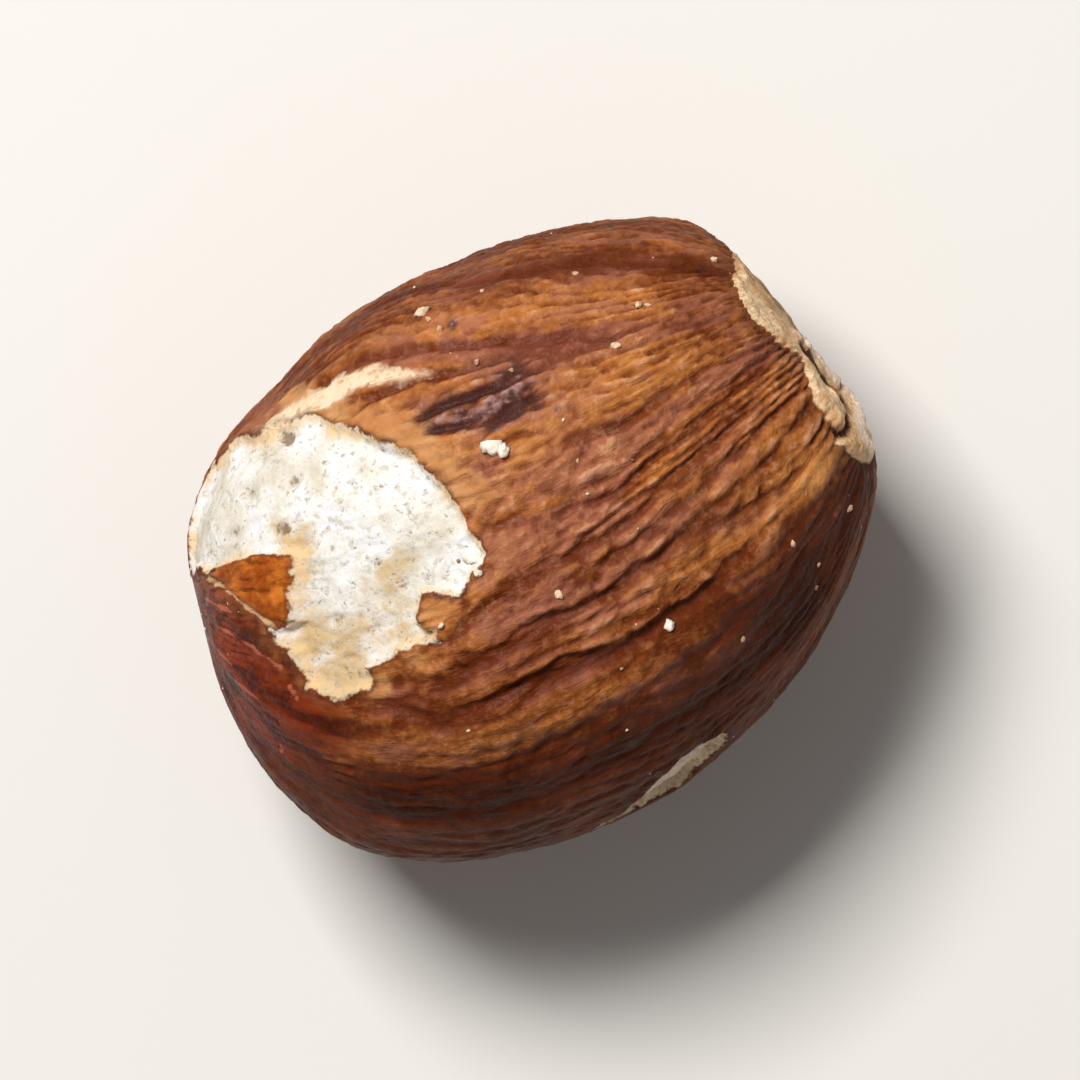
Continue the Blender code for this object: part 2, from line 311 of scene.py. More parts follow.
def bell(distance, halfWidth):
    # e to the power -(distance / half width) squared
    return np.exp(-((distance / halfWidth) ** 2))


def noiseAt(points, seed):
    # smooth noise, about -1 to 1: at each whole-number corner a hashed slope times the
    # offset from that corner, the eight of them blended by 6t^5 - 15t^4 + 10t^3
    cell = np.floor(points).astype(np.int64)
    part = points - cell
    blend = part ** 3 * (part * (part * 6 - 15) + 10)
    total = np.zeros(points.shape[:-1])
    for corner in itertools.product((0, 1), repeat=3):
        key = (cell + corner) @ np.array((73856093, 19349663, 83492791)) + seed * 7919
        for shift, factor in ((15, 224682251), (13, 326648991), (16, 668265263)):
            key = ((key ^ (key >> shift)) * factor) & 0xFFFFFFFF
        slopes = np.stack([(key >> bits & 1023) / 511.5 - 1 for bits in (0, 10, 20)], axis=-1)
        weight = np.prod(np.where(corner, blend, 1 - blend), axis=-1)
        total += weight * np.sum(slopes * (part - corner), axis=-1)
    return total * 1.5


def layered(points, layers):
    # noises added up, each layer being (how fine, amount, seed)
    return sum(amount * noiseAt(points * fineness, seed) for fineness, amount, seed in layers)


def lineDistance(points, line):
    # distance to the nearest of the line's straight stretches, in two or three directions
    nearest = np.full(points.shape[:-1], 100.0)
    for start, end in zip(line, line[1:]):
        run = np.subtract(end, start)
        share = np.clip((points - start) @ run / (run @ run), 0, 1)
        nearest = np.minimum(nearest, np.linalg.norm(points - start - share[..., None] * run, axis=-1))
    return nearest


def polygonDistance(points, outline):
    # distance to a closed outline in the plane, negative inside it
    closed = outline + outline[:1]
    x, y = points[..., 0], points[..., 1]
    inside = np.zeros(x.shape, bool)
    for (ax, ay), (bx, by) in zip(closed, closed[1:]):
        slant = (bx - ax) / (by - ay) if by != ay else 0
        inside ^= ((ay > y) != (by > y)) & (x < ax + (y - ay) * slant)
    return lineDistance(points, closed) * np.where(inside, -1, 1)


def planRadius(angle):
    # closed curve through the plan radii: a cubic between each two, sloped by their neighbours
    radii = np.array(form["planRadii"])
    count = len(radii)
    place = (angle % math.tau) / math.tau * count
    index = np.floor(place).astype(int)
    part = place - index
    before, here, after, beyond = (radii[(index + step) % count] for step in (-1, 0, 1, 2))
    bend = 2 * before - 5 * here + 4 * after - beyond
    twist = 3 * (here - after) + beyond - before
    return here + 0.5 * part * (after - before + part * (bend + part * twist))


def directions(around, along):
    # rays from the centre: (cos along, sin along cos around + lean, sin along sin around)
    forward = np.cos(along)
    lean = math.tan(math.radians(form["pointedPoleTurn"])) * ((1 + forward) / 2) ** 2
    lean = lean + math.tan(math.radians(form["bluntPoleTurn"])) * ((1 - forward) / 2) ** 2
    rays = np.stack((forward, np.sin(along) * np.cos(around) + lean,
                     np.sin(along) * np.sin(around)), axis=-1)
    return rays / np.linalg.norm(rays, axis=-1, keepdims=True)


def formRadii(rays):
    # radius along each ray: the body's power curve and the cap, joined by a soft minimum;
    # overlap says how far the cap cuts into the body
    level = np.hypot(rays[..., 0], rays[..., 1])
    outline = planRadius(np.arctan2(rays[..., 1], rays[..., 0]))
    power = form["fullness"]
    body = (level / outline) ** power + (np.abs(rays[..., 2]) / form["halfHeight"]) ** power
    body = body ** (-1 / power)
    turn = math.radians(form["capTurn"])
    facing = rays[..., 0] * math.cos(turn) + rays[..., 1] * math.sin(turn)
    cap = form["capRadius"] * np.clip(facing, 0.2, 1) ** -form["capCurve"]
    cap = np.where(facing > 0.2, cap, 100)
    crisp = form["capCrispness"]
    return (body ** -crisp + cap ** -crisp) ** (-1 / crisp), body - cap


def unrolled(around, along):
    # the skin as a tube that closes at its ends, radius 6 (1 - (1 - sin along)^3): noise read
    # here runs along the ridges, has no seam and turns even-grained at the poles
    girth = 6 * (1 - (1 - np.sin(along)) ** 3)
    return np.stack((girth * np.cos(around), girth * np.sin(around), 6.8 * along), axis=-1)


def turnFrom(angle, centre):
    # signed angle from centre, in degrees, across the 0/360 join
    return (np.degrees(angle) - centre + 180) % 360 - 180


def byAngle(around, table):
    # straight-line values between the table's angles, across the 0/360 join
    angles, values = zip(*table)
    return np.interp(np.degrees(around), angles, values, period=360)


def flowAngle(around, along):
    # the angle, at mid length, of the wrinkle that runs through each point
    degrees = np.degrees(along)
    turned = byAngle(around, relief["turnPointed"]) * (1 - ramp(degrees, 40, 85))
    turned = turned + byAngle(around, relief["turnBlunt"]) * ramp(degrees, 85, 118)
    return around - np.radians(turned)


def curveBell(around, along, curve, halfWidth):
    # bell across a curve of (degrees along, angle round), faded over 6 degrees past each end
    places, angles = zip(*curve)
    degrees = np.degrees(along)
    first, last, fade = places[0], places[-1], 6
    reach = ramp(degrees, first - fade, first + fade) * (1 - ramp(degrees, last - fade, last + fade))
    return reach * bell(turnFrom(around, np.interp(degrees, places, angles)), halfWidth)


def broadRelief(around, along):
    # bell-shaped ridges and furrows that stray a little from their lines; between them ribs,
    # the cosine of the rib count times the angle, and slow swells
    strayed = around + math.radians(relief["wander"]) * (
        0.6 * np.sin(2.3 * along + 1.3 * np.sin(around)) + 0.4 * np.sin(5.1 * along + 2 * around))
    bands = np.zeros_like(around)
    for centre, halfWidth, height in relief["ridges"]:
        bands += height * bell(turnFrom(strayed, centre), halfWidth)
    swell = 0.5 + 0.5 * np.sin(3 * around + 2 * along)
    ribs = relief["ribHeight"] * (0.6 + 0.4 * swell)
    ribs = ribs * np.cos(relief["ribCount"] * strayed + 2 * np.sin(3 * along))
    slow = relief["slowSwell"] * np.sin(2 * around + 1.1) * np.sin(2 * along)
    return bands, ribs + slow


def furrowList():
    # the furrows seen from above, and more by a seeded rule for the underside
    draw = np.random.default_rng(5)
    listed = list(relief["furrows"])
    for centre in np.linspace(*hidden["between"], hidden["count"]):
        start, length = draw.uniform(*hidden["starts"]), draw.uniform(*hidden["lengths"])
        drift = draw.uniform(-hidden["drift"], hidden["drift"])
        listed.append((((start, centre - drift), (start + length, centre + drift)),
                       draw.uniform(*hidden["halfWidths"]), draw.uniform(*hidden["depths"])))
    return listed


def fineRelief(around, along):
    # furrows: bells that waver by noise; pleats: the size of a sine round the nut, its phase
    # shifted by noise; wrinkles: the size of noise, so that valleys are sharp and crests round
    flow = flowAngle(around, along)
    tube = unrolled(flow, along)
    strayed = around + np.radians(layered(tube, relief["waver"]))
    cut = np.zeros_like(around)
    for curve, halfWidth, depth in furrowList():
        cut -= depth * curveBell(strayed, along, curve, halfWidth)
    wide, narrow = relief["pleatWaves"]
    phase = 4.0 * noiseAt(tube / wide, 5) + 1.2 * noiseAt(tube / narrow, 6)
    patches = noiseAt(tube / relief["pleatPatches"], 7) + 0.25 * np.cos(along)
    pleats = np.abs(np.sin(relief["pleatCount"] / 2 * flow + phase)) * 2 - 1.2
    pleats = relief["pleatHeight"] * ramp(patches, -0.45, 0.35) * pleats
    coarse, fine = relief["warp"]
    shifts = [layered(tube, ((*coarse, seed), (*fine, seed + 3))) for seed in (11, 12, 13)]
    warped = tube + np.stack(shifts, axis=-1)
    across, lengthwise, height = relief["swells"]
    folds = pleats + height * noiseAt(warped / (across, across, lengthwise), 20)
    for seed, (across, lengthwise, height) in enumerate(relief["wrinkles"], 21):
        lumps = np.abs(noiseAt(warped / (across, across, lengthwise), seed))
        folds += height * (np.tanh(relief["sharpness"] * lumps) - 0.5)
    across, lengthwise, height = relief["beads"]
    folds += height * noiseAt(tube / (across, across, lengthwise), 24)
    return cut, folds * byAngle(around, relief["strength"])


def spotted(plan, spots, shift=0):
    # the highest of several bells, each being (x, y, half width, height)
    highest = np.zeros(plan.shape[:-1])
    for x, y, halfWidth, height in spots:
        apart = np.hypot(plan[..., 0] - x, plan[..., 1] - y) + shift
        highest = np.maximum(highest, height * bell(apart, halfWidth))
    return highest


def smudgeAmount(plan):
    # a bell across the smudge's line, faded at both ends, and the dots beside it
    (ax, ay), (bx, by) = smudge["from"], smudge["to"]
    across, onward = plan[..., 0] - ax, plan[..., 1] - ay
    length = math.hypot(bx - ax, by - ay)
    run = (across * (bx - ax) + onward * (by - ay)) / length
    side = (onward * (bx - ax) - across * (by - ay)) / length
    early, late = smudge["stop"]
    faded = ramp(run, *smudge["start"]) * (1 - ramp(run, length + early, length + late))
    return np.maximum(bell(side, smudge["halfWidth"]) * faded, spotted(plan, smudge["dots"]))


def marksFromAbove(flat, ragged):
    # how far each point lies from the outline of each mark, negative inside, and how much it
    # has of the soft ones; what is drawn from above is kept off the underside
    plan, z = flat[..., :2], flat[..., 2]
    above, below = z > 0, 0.5 - z
    thin = bell(lineDistance(plan, thinSkin["line"]) + ragged, thinSkin["reach"])
    thin = np.maximum(thin, spotted(plan, thinSkin["spots"], thinSkin["spotRagged"] * ragged))
    apart = np.min([lineDistance(plan, line) for line in glintStreaks["lines"]], axis=0)
    scratch = bell(apart + glintStreaks["ragged"] * ragged, glintStreaks["halfWidth"])
    torn = polygonDistance(plan, streak["outline"]) + streak["ragged"] * ragged
    split = lineDistance(plan, tear["line"]) + tear["ragged"] * ragged - tear["halfWidth"]
    loose = polygonDistance(plan, flake["outline"]) + flake["ragged"] * ragged
    redDepth = -polygonDistance(plan, redZone["outline"]) + redZone["ragged"] * ragged
    bareSide = below + patch["raised"] + layered(flat, patch["sideNoise"])
    crack, carved = np.zeros_like(z), np.zeros_like(z)
    uneven = 1 + layered(flat, crust["crackNoise"])
    for line, halfWidth, depth, dark in crust["cracks"]:
        apart = lineDistance(flat, line) + crust["crackRagged"] * ragged
        carved += depth * bell(apart, halfWidth * uneven)
        crack = np.maximum(crack, dark * bell(apart, halfWidth * uneven))
    apart = lineDistance(flat, crust["strand"]) + crust["strandRagged"] * ragged
    return {
        "bare": np.maximum(polygonDistance(plan, patch["outline"]) + ragged, bareSide),
        "torn": np.maximum(torn, below),
        "tear": np.maximum(split, below),
        "loose": np.maximum(loose, below),
        "deepRed": ramp(redDepth, *redZone["step"]) * ramp(z, *redZone["heights"]),
        "stain": smudgeAmount(plan) * ramp(z, 1, 2.5),
        "pits": spotted(plan, patch["pits"], patch["pitRagged"] * ragged) * above,
        "thin": thin * above,
        "cream": spotted(plan, patch["creamy"]),
        "crack": crack,
        "carved": carved,
        "strand": bell(apart, crust["strandWidth"]),
        "scratch": scratch * ramp(z, 0, 0.6),
    }


def skinTone(around, along, tube, bands, ragged):
    # how pale the skin is, by angle, ridge and stripe, and how violet
    spread = ramp(np.sin(along), *tones["bandFade"])
    ends = tones["ends"]
    tone = ends + (byAngle(around, tones["byAngle"]) + tones["ridgeLift"] * bands - ends) * spread
    tone = tone + layered(tube, tones["clouds"])
    violet = np.zeros_like(around)
    for curve, halfWidth, paler, violetShare in tones["stripes"]:
        stripe = curveBell(around + tones["stray"] * ragged, along, curve, halfWidth)
        tone, violet = tone + paler * stripe * spread, violet + violetShare * stripe
    return tone, violet


def tornRise(skin, cap, tube, marks):
    # the skin's rise, sunken and lumpy where it is torn off, with a lip round the tear
    under = ramp(-marks["bare"], 0, patch["step"])
    flesh = layered(tube, patch["lumps"]) - marks["pits"]
    rise = skin * (1 - under) + (patch["skinShows"] * skin + flesh) * under
    lip = bell(marks["bare"] - patch["lipPlace"], patch["lipWidth"]) * patch["lip"]
    streaked = streak["depthShare"] * ramp(-marks["torn"], 0, streak["step"])
    rise = rise + lip * (1 - cap) - patch["depth"] * under
    rise = rise - patch["depth"] * streaked * (1 - under)
    return rise + flake["rise"] * ramp(-marks["loose"], *flake["step"])


def crustRise(rise, around, along, flat, overlap, beyond, marks):
    # the rise with the crust over it: a lip round its edge, then lumps, spokes, strand, cracks
    cap = ramp(beyond, *crust["edgeStep"])
    lumps = layered(flat, crust["lumps"])
    rim = bell(beyond - crust["lipPlace"], crust["lipWidth"]) * (crust["lip"] + 0.6 * lumps)
    spokes = np.cos(crust["spokes"] * around + 5 * noiseAt(flat * 0.7, 63))
    spokes = spokes * crust["spokeHeight"] * ramp(np.sin(along), 0.1, 0.35)
    rise = rise + rim + cap * (0.7 * lumps + spokes - crust["hollow"] * ramp(overlap, 0.5, 0.95))
    return rise + cap * (crust["strandRise"] * marks["strand"] - marks["carved"])


def kernelSurface(around, along):
    # every point of the skin, and the facts that its colours read
    rays = directions(around, along)
    radius, overlap = formRadii(rays)
    tube = unrolled(flowAngle(around, along), along)
    flat = rays * radius[..., None]
    ragged = layered(tube, relief["ragged"])
    marks = marksFromAbove(flat, ragged)
    beyond = overlap - byAngle(around, crust["edge"]) + layered(flat, crust["edgeNoise"])
    cap = ramp(beyond, *crust["edgeStep"])
    start, sooner = crust["heart"]
    inner = overlap - start + sooner * ramp(-flat[..., 2], -1, 2)
    inner = inner + layered(flat, crust["heartNoise"])

    bands, ribs = broadRelief(around, along)
    tone, violet = skinTone(around, along, tube, bands, ragged)
    drawn = np.stack((np.degrees(along), np.degrees(around) % 360), axis=-1)
    scuff = sliver["perDegree"] * polygonDistance(drawn, sliver["outline"])
    scuff = scuff + sliver["ragged"] * ragged + layered(tube, sliver["uneven"])
    marks["bare"] = np.minimum(marks["bare"], scuff)

    # pale bands and the red zone are smoother, and the relief runs out at both ends
    cut, folds = fineRelief(around, along)
    folds = folds * (1.1 - 0.5 * ramp(tone, 0.5, 0.75)) * (1 - 0.5 * marks["deepRed"])
    fade = ramp(np.sin(along), *relief["fade"])
    fineFade = ramp(np.sin(along), *relief["fineFade"])
    skin = ((bands + ribs + cut) * fade + folds * fineFade) * (1 - cap)
    rise = tornRise(skin, cap, tube, marks)
    rise = crustRise(rise, around, along, flat, overlap, beyond, marks)

    points = rays * (radius + rise)[..., None]
    taper = 1 - form["pointedTaper"] * ramp(points[..., 0], *form["pointedSpan"])
    taper = taper - form["bluntTaper"] * ramp(-points[..., 0], *form["bluntSpan"])
    points[..., 2] = points[..., 2] * taper

    del marks["carved"]
    marks.update(grain=tube, tone=np.clip(tone, 0, 1), violet=violet, cap=beyond, scuff=scuff,
                 inner=inner,
                 fold=np.clip((cut * fade + folds * fineFade) / relief["fullFold"], -1, 1))
    return points, marks


def gridFaces(count, rings):
    # faces of a closed grid whose two end points follow its rings: quads between the rings,
    # and a fan of triangles from each end point
    ring, step = np.meshgrid(np.arange(rings - 1), np.arange(count), indexing="ij")
    here, beside = ring * count + step, ring * count + (step + 1) % count
    quads = np.stack((here, here + count, beside + count, beside), axis=-1).reshape(-1, 4)
    first, last = np.arange(count), (rings - 1) * count + np.arange(count)
    start, end = np.full(count, count * rings), np.full(count, count * rings + 1)
    fans = np.concatenate((
        np.stack((start, first, np.roll(first, -1)), axis=-1),
        np.stack((end, np.roll(last, -1), last), axis=-1)))
    return quads, fans


meshing = {
    "around": 516,
    "along": 190,
    "crowding": 0.3,  # how much closer the meridians are on top
    "poleGap": 0.0001,  # radians from each pole at which its facts are worked out
}


def buildKernel():
    # a grid of meridians and rings, moved to the middle of the solid and cut flat at the floor
    count, rings = meshing["around"], meshing["along"]
    around = np.arange(count) * math.tau / count
    around = around + meshing["crowding"] * np.cos(around)
    along = np.arange(1, rings + 1) / (rings + 1) * math.pi
    gridPoints, gridFacts = kernelSurface(*np.meshgrid(around, along))
    gap = meshing["poleGap"]
    polePoints, poleFacts = kernelSurface(np.zeros((1, 2)), np.array([[gap, math.pi - gap]]))
    points = np.concatenate((gridPoints.reshape(-1, 3), polePoints.reshape(-1, 3)))

    floorLevel = form["spotDepth"] - form["halfHeight"]
    points[:, 2] = np.maximum(points[:, 2], floorLevel) - floorLevel
    middle = (points[:, :2].min(axis=0) + points[:, :2].max(axis=0)) / 2
    low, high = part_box("kernel")
    planShift = (np.array(low[:2]) + np.array(high[:2])) / 2 / mm - middle
    points[:, :2] += planShift

    mesh = bpy.data.meshes.new("nut")
    quads, fans = gridFaces(count, rings)
    mesh.from_pydata((points * mm).tolist(), [], quads.tolist() + fans.tolist())
    for name, values in gridFacts.items():
        whole = np.concatenate((values.reshape(count * rings, -1), poleFacts[name].reshape(2, -1)))
        kind, key = ("FLOAT_VECTOR", "vector") if whole.shape[1] == 3 else ("FLOAT", "value")
        mesh.attributes.new(name, kind, "POINT").data.foreach_set(key, whole.ravel())
    mesh.shade_smooth()
    mesh.validate()
    return mesh, planShift


crumbs = {
    # crumbs that the photograph shows: x, y, size, and how pale, 0 brown to 1 white
    "placed": (
        (-0.42, 2.1, 0.24, 1.0), (-0.26, 1.95, 0.17, 0.9), (-1.19, 5.14, 0.2, 0.7),
        (-1.05, 4.98, 0.12, 0.4), (-0.9, 4.7, 0.12, 0.45), (2.25, -2.36, 0.14, 0.9),
        (2.5, 3.5, 0.11, 0.6), (3.2, 4.2, 0.1, 0.5), (3.35, 4.15, 0.07, 0.5),
        (0.12, -1.17, 0.1, 0.6), (4.98, 4.78, 0.1, 0.7), (5.1, -1.35, 0.08, 0.5),
        (6.5, -0.9, 0.08, 0.6), (5.55, -1.9, 0.07, 0.3), (5.35, -2.35, 0.07, 0.3),
        (-1.4, 0.0, 0.17, 1.0), (-1.35, -0.35, 0.12, 0.9), (-2.35, -1.2, 0.1, 0.7),
        (1.2, 1.4, 0.05, 0.4), (0.15, 5.3, 0.07, 0.5), (2.1, 5.2, 0.07, 0.5),
        (-0.35, 3.9, 0.1, 0.35), (0.35, 3.5, 0.07, 0.2), (3.6, -3.0, 0.06, 0.4)),
    "scattered": 90,  # and this many fine ones all over the skin
    "fineSizes": (0.02, 0.05),
    "finePale": (0.1, 0.9),
    "sides": (0.5, 1.1),  # how unlike their three sides are
    "flatness": 0.6,
    "sunk": 0.3,  # share of its size that a crumb sits in the skin
    "segments": 12, "rings": 7,
}


def buildCrumbs(skinMesh, planShift):
    # lumpy pebbles: a sphere's directions times 1 + noise, flattened along the skin's normal,
    # and each one moved to a vertex of the skin
    count = len(skinMesh.vertices)
    places, normals = np.zeros(count * 3), np.zeros(count * 3)
    skinMesh.vertices.foreach_get("co", places)
    skinMesh.vertices.foreach_get("normal", normals)
    places, normals = places.reshape(-1, 3) / mm, normals.reshape(-1, 3)
    draw = np.random.default_rng(8)
    placed = np.array(crumbs["placed"])
    apart = np.hypot(places[:, 0] - placed[:, :1] - planShift[0],
                     places[:, 1] - placed[:, 1:2] - planShift[1])
    chosen = np.argmin(apart + 100 * (normals[:, 2] < 0.05), axis=1)  # only on the upper side
    strewn = draw.integers(0, count, crumbs["scattered"])
    spots = np.concatenate((chosen, strewn))
    sizes = np.concatenate((placed[:, 2], draw.uniform(*crumbs["fineSizes"], len(strewn))))
    pale = np.concatenate((placed[:, 3], draw.uniform(*crumbs["finePale"], len(strewn))))

    segments, rings = crumbs["segments"], crumbs["rings"]
    turn, lift = np.meshgrid(np.arange(segments) * math.tau / segments,
                             np.arange(1, rings + 1) * math.pi / (rings + 1))
    ball = np.stack((np.sin(lift) * np.cos(turn), np.sin(lift) * np.sin(turn), np.cos(lift)), axis=-1)
    ball = np.concatenate((ball.reshape(-1, 3), ((0, 0, 1), (0, 0, -1))))
    own = np.arange(len(spots))[:, None, None] * 7.3  # so that no two crumbs share their noise
    lumpy = 0.6 * noiseAt(ball * 1.3 + own, 71) + 0.3 * noiseAt(ball * 3.1 + own, 72)
    shape = ball * (1 + lumpy)[..., None] * draw.uniform(*crumbs["sides"], (len(spots), 1, 3))
    shape = shape * (1, 1, crumbs["flatness"])
    up = normals[spots]
    side = np.cross(up, draw.normal(size=up.shape))
    side = side / np.linalg.norm(side, axis=1, keepdims=True)
    across = np.cross(up, side)
    shape = (shape[..., :1] * side[:, None] + shape[..., 1:2] * across[:, None]
             + shape[..., 2:] * up[:, None])
    base = places[spots] + up * (sizes * (0.5 - crumbs["sunk"]))[:, None]
    points = base[:, None] + shape * sizes[:, None, None]

    offsets = np.arange(len(spots))[:, None, None] * len(ball)
    quads, fans = gridFaces(segments, rings)
    faces = (quads + offsets).reshape(-1, 4).tolist() + (fans + offsets).reshape(-1, 3).tolist()
    mesh = bpy.data.meshes.new("crumbs")
    mesh.from_pydata((points.reshape(-1, 3) * mm).tolist(), [], faces)
    field = mesh.attributes.new("pale", "FLOAT", "POINT")
    field.data.foreach_set("value", np.repeat(pale, len(ball)))
    mesh.shade_smooth()
    return mesh


def linked(name, data):
    # a new object in the scene, at the origin
    thing = bpy.data.objects.new(name, data)
    bpy.context.scene.collection.objects.link(thing)
    return thing


class Wire:
    # an output socket that Python's operators can work on, each adding a Math node

    def __init__(self, socket):
        self.socket = socket

    @staticmethod
    def node(tree, kind, settings=None, values=None, out=0):
        # any node: its type, its settings first, then what its sockets hold or are fed by
        made = tree.nodes.new(kind)
        for name, value in (settings or {}).items():
            if name == "stops":
                band = made.color_ramp.elements
                for place, colour in value[2:]:
                    band.new(place)
                for element, (place, colour) in zip(band, value):
                    element.position, element.color = place, colour
            else:
                setattr(made, name, value)
        for key, value in (values or {}).items():
            if isinstance(value, Wire):
                tree.links.new(value.socket, made.inputs[key])
            else:
                made.inputs[key].default_value = value
        return Wire(made.outputs[out])

    def math(self, operation, *operands):
        values = dict(enumerate(operands))
        return Wire.node(self.socket.id_data, "ShaderNodeMath", {"operation": operation}, values)

    def __add__(self, other):
        return self.math("ADD", self, other)

    def __sub__(self, other):
        return self.math("SUBTRACT", self, other)

    def __rsub__(self, other):
        return self.math("SUBTRACT", other, self)

    def __mul__(self, other):
        return self.math("MULTIPLY", self, other)

    def __neg__(self):
        return self.math("MULTIPLY", self, -1.0)

    def __abs__(self):
        return self.math("ABSOLUTE", self)

    __radd__ = __add__
    __rmul__ = __mul__

    def between(self, low, high):
        # smooth step from 0 at low to 1 at high
        return Wire.node(self.socket.id_data, "ShaderNodeMapRange",
                         {"interpolation_type": "SMOOTHSTEP"}, {0: self, 1: low, 2: high})


class Finish:
    # one material being made: its node tree and the nodes that every finish uses

    def __init__(self, name, hues=None):
        self.hues = hues
        self.material = bpy.data.materials.new(name)
        self.material.use_nodes = True
        self.tree = self.material.node_tree
        self.shader = self.tree.nodes["Principled BSDF"]
        self.place = self.add("ShaderNodeTexCoord", out="Object")

    def add(self, kind, settings=None, values=None, out=0):
        return Wire.node(self.tree, kind, settings, values, out)

    def facts(self, names):
        return [self.add("ShaderNodeAttribute", {"attribute_name": name}, out="Fac")
                for name in names.split()]

    def stretched(self, vector, scale):
        return self.add("ShaderNodeVectorMath", {"operation": "MULTIPLY"}, {0: vector, 1: scale})

    def noise(self, vector, scale, detail=2.0, rough=0.5, warp=0.0):
        return self.add("ShaderNodeTexNoise", None, {
            "Vector": vector, "Scale": scale, "Detail": detail, "Roughness": rough,
            "Distortion": warp})

    def graded(self, value, name):
        # a colour ramp through the named row of (place, hue)
        stops = [(place, tint(*hue)) for place, hue in self.hues[name]]
        return self.add("ShaderNodeValToRGB", {"stops": stops}, {0: value})

    def mixed(self, share, first, second):
        return self.add("ShaderNodeMix", {"data_type": "RGBA", "blend_type": "MIX"},
                        {0: share, 6: first, 7: second}, out=2)

    def blend(self, share, name):
        # from the first to the second hue of a named pair
        return self.mixed(share, *(tint(*hue) for hue in self.hues[name]))

    def laid(self, base, *layers):
        # layers of (share, colour or name of a hue), each over the ones before
        for share, colour in layers:
            over = colour if isinstance(colour, Wire) else tint(*self.hues[colour])
            base = self.mixed(share, base, over)
        return base

    def bumped(self, height, strength, distance):
        return self.add("ShaderNodeBump", None,
                        {"Strength": strength, "Distance": distance, "Height": height})

    def feed(self, values):
        # values for the shader's own sockets
        for name, value in values.items():
            if isinstance(value, Wire):
                self.tree.links.new(value.socket, self.shader.inputs[name])
            else:
                self.shader.inputs[name].default_value = value


# screen colours, 0 to 255: single hues, pairs to mix between, and rows of (place, hue)
hues = {
    "stripes": ((0.0, (54, 19, 6)), (0.25, (106, 49, 19)), (0.5, (174, 106, 52)),
                (0.7, (203, 135, 72)), (0.85, (219, 153, 90)), (1.0, (232, 174, 120))),
    "crumbs": ((0.0, (104, 58, 34)), (0.4, (196, 150, 112)), (0.7, (226, 200, 170)),
               (1.0, (244, 236, 224))),
    "bloom": (146, 89, 76),
    # dark red-brown for the furrow bottoms and fine creases, partly the skin's colour, partly painted
    # shade
    "furrow": (98, 41, 17),
    "crease": (98, 42, 18),
    # pale pinkish tints for the painted highlights on the wrinkle crests, duller on darker skin
    "highlightTint": ((138, 72, 44), (207, 151, 121)),
    "wine": ((64, 14, 5), (120, 42, 14)),
    "scratch": (190, 112, 86),
    # the smudge: its own dark violet-brown, and pale violet-grey painted glints on the fold crests
    "ink": ((54, 30, 32), (160, 124, 122)),
    "ochre": ((180, 118, 66), (208, 155, 102)),
    "amber": ((140, 62, 14), (200, 116, 40)),
    "fibre": ((198, 150, 106), (226, 204, 174)),
    "tear": (216, 172, 130),
    "chalk": ((232, 228, 222), (206, 199, 184)),
    "cream": (199, 166, 114),
    "rim": (226, 192, 146),
    "cool": (220, 222, 230),
    "dull": (164, 154, 128),
    "speck": (132, 108, 72),
    "dent": (112, 86, 52),
    "fringe": (76, 34, 14),
    "cork": ((246, 214, 172), (220, 174, 128)),
    "bark": ((112, 70, 42), (192, 148, 106)),
    "strand": (250, 230, 214),
    "pore": (120, 78, 50),
    "thread": (176, 126, 84),
    "crack": (122, 76, 46),
    "deepCrack": (50, 26, 15),
    "besideCrust": (88, 40, 16),
}


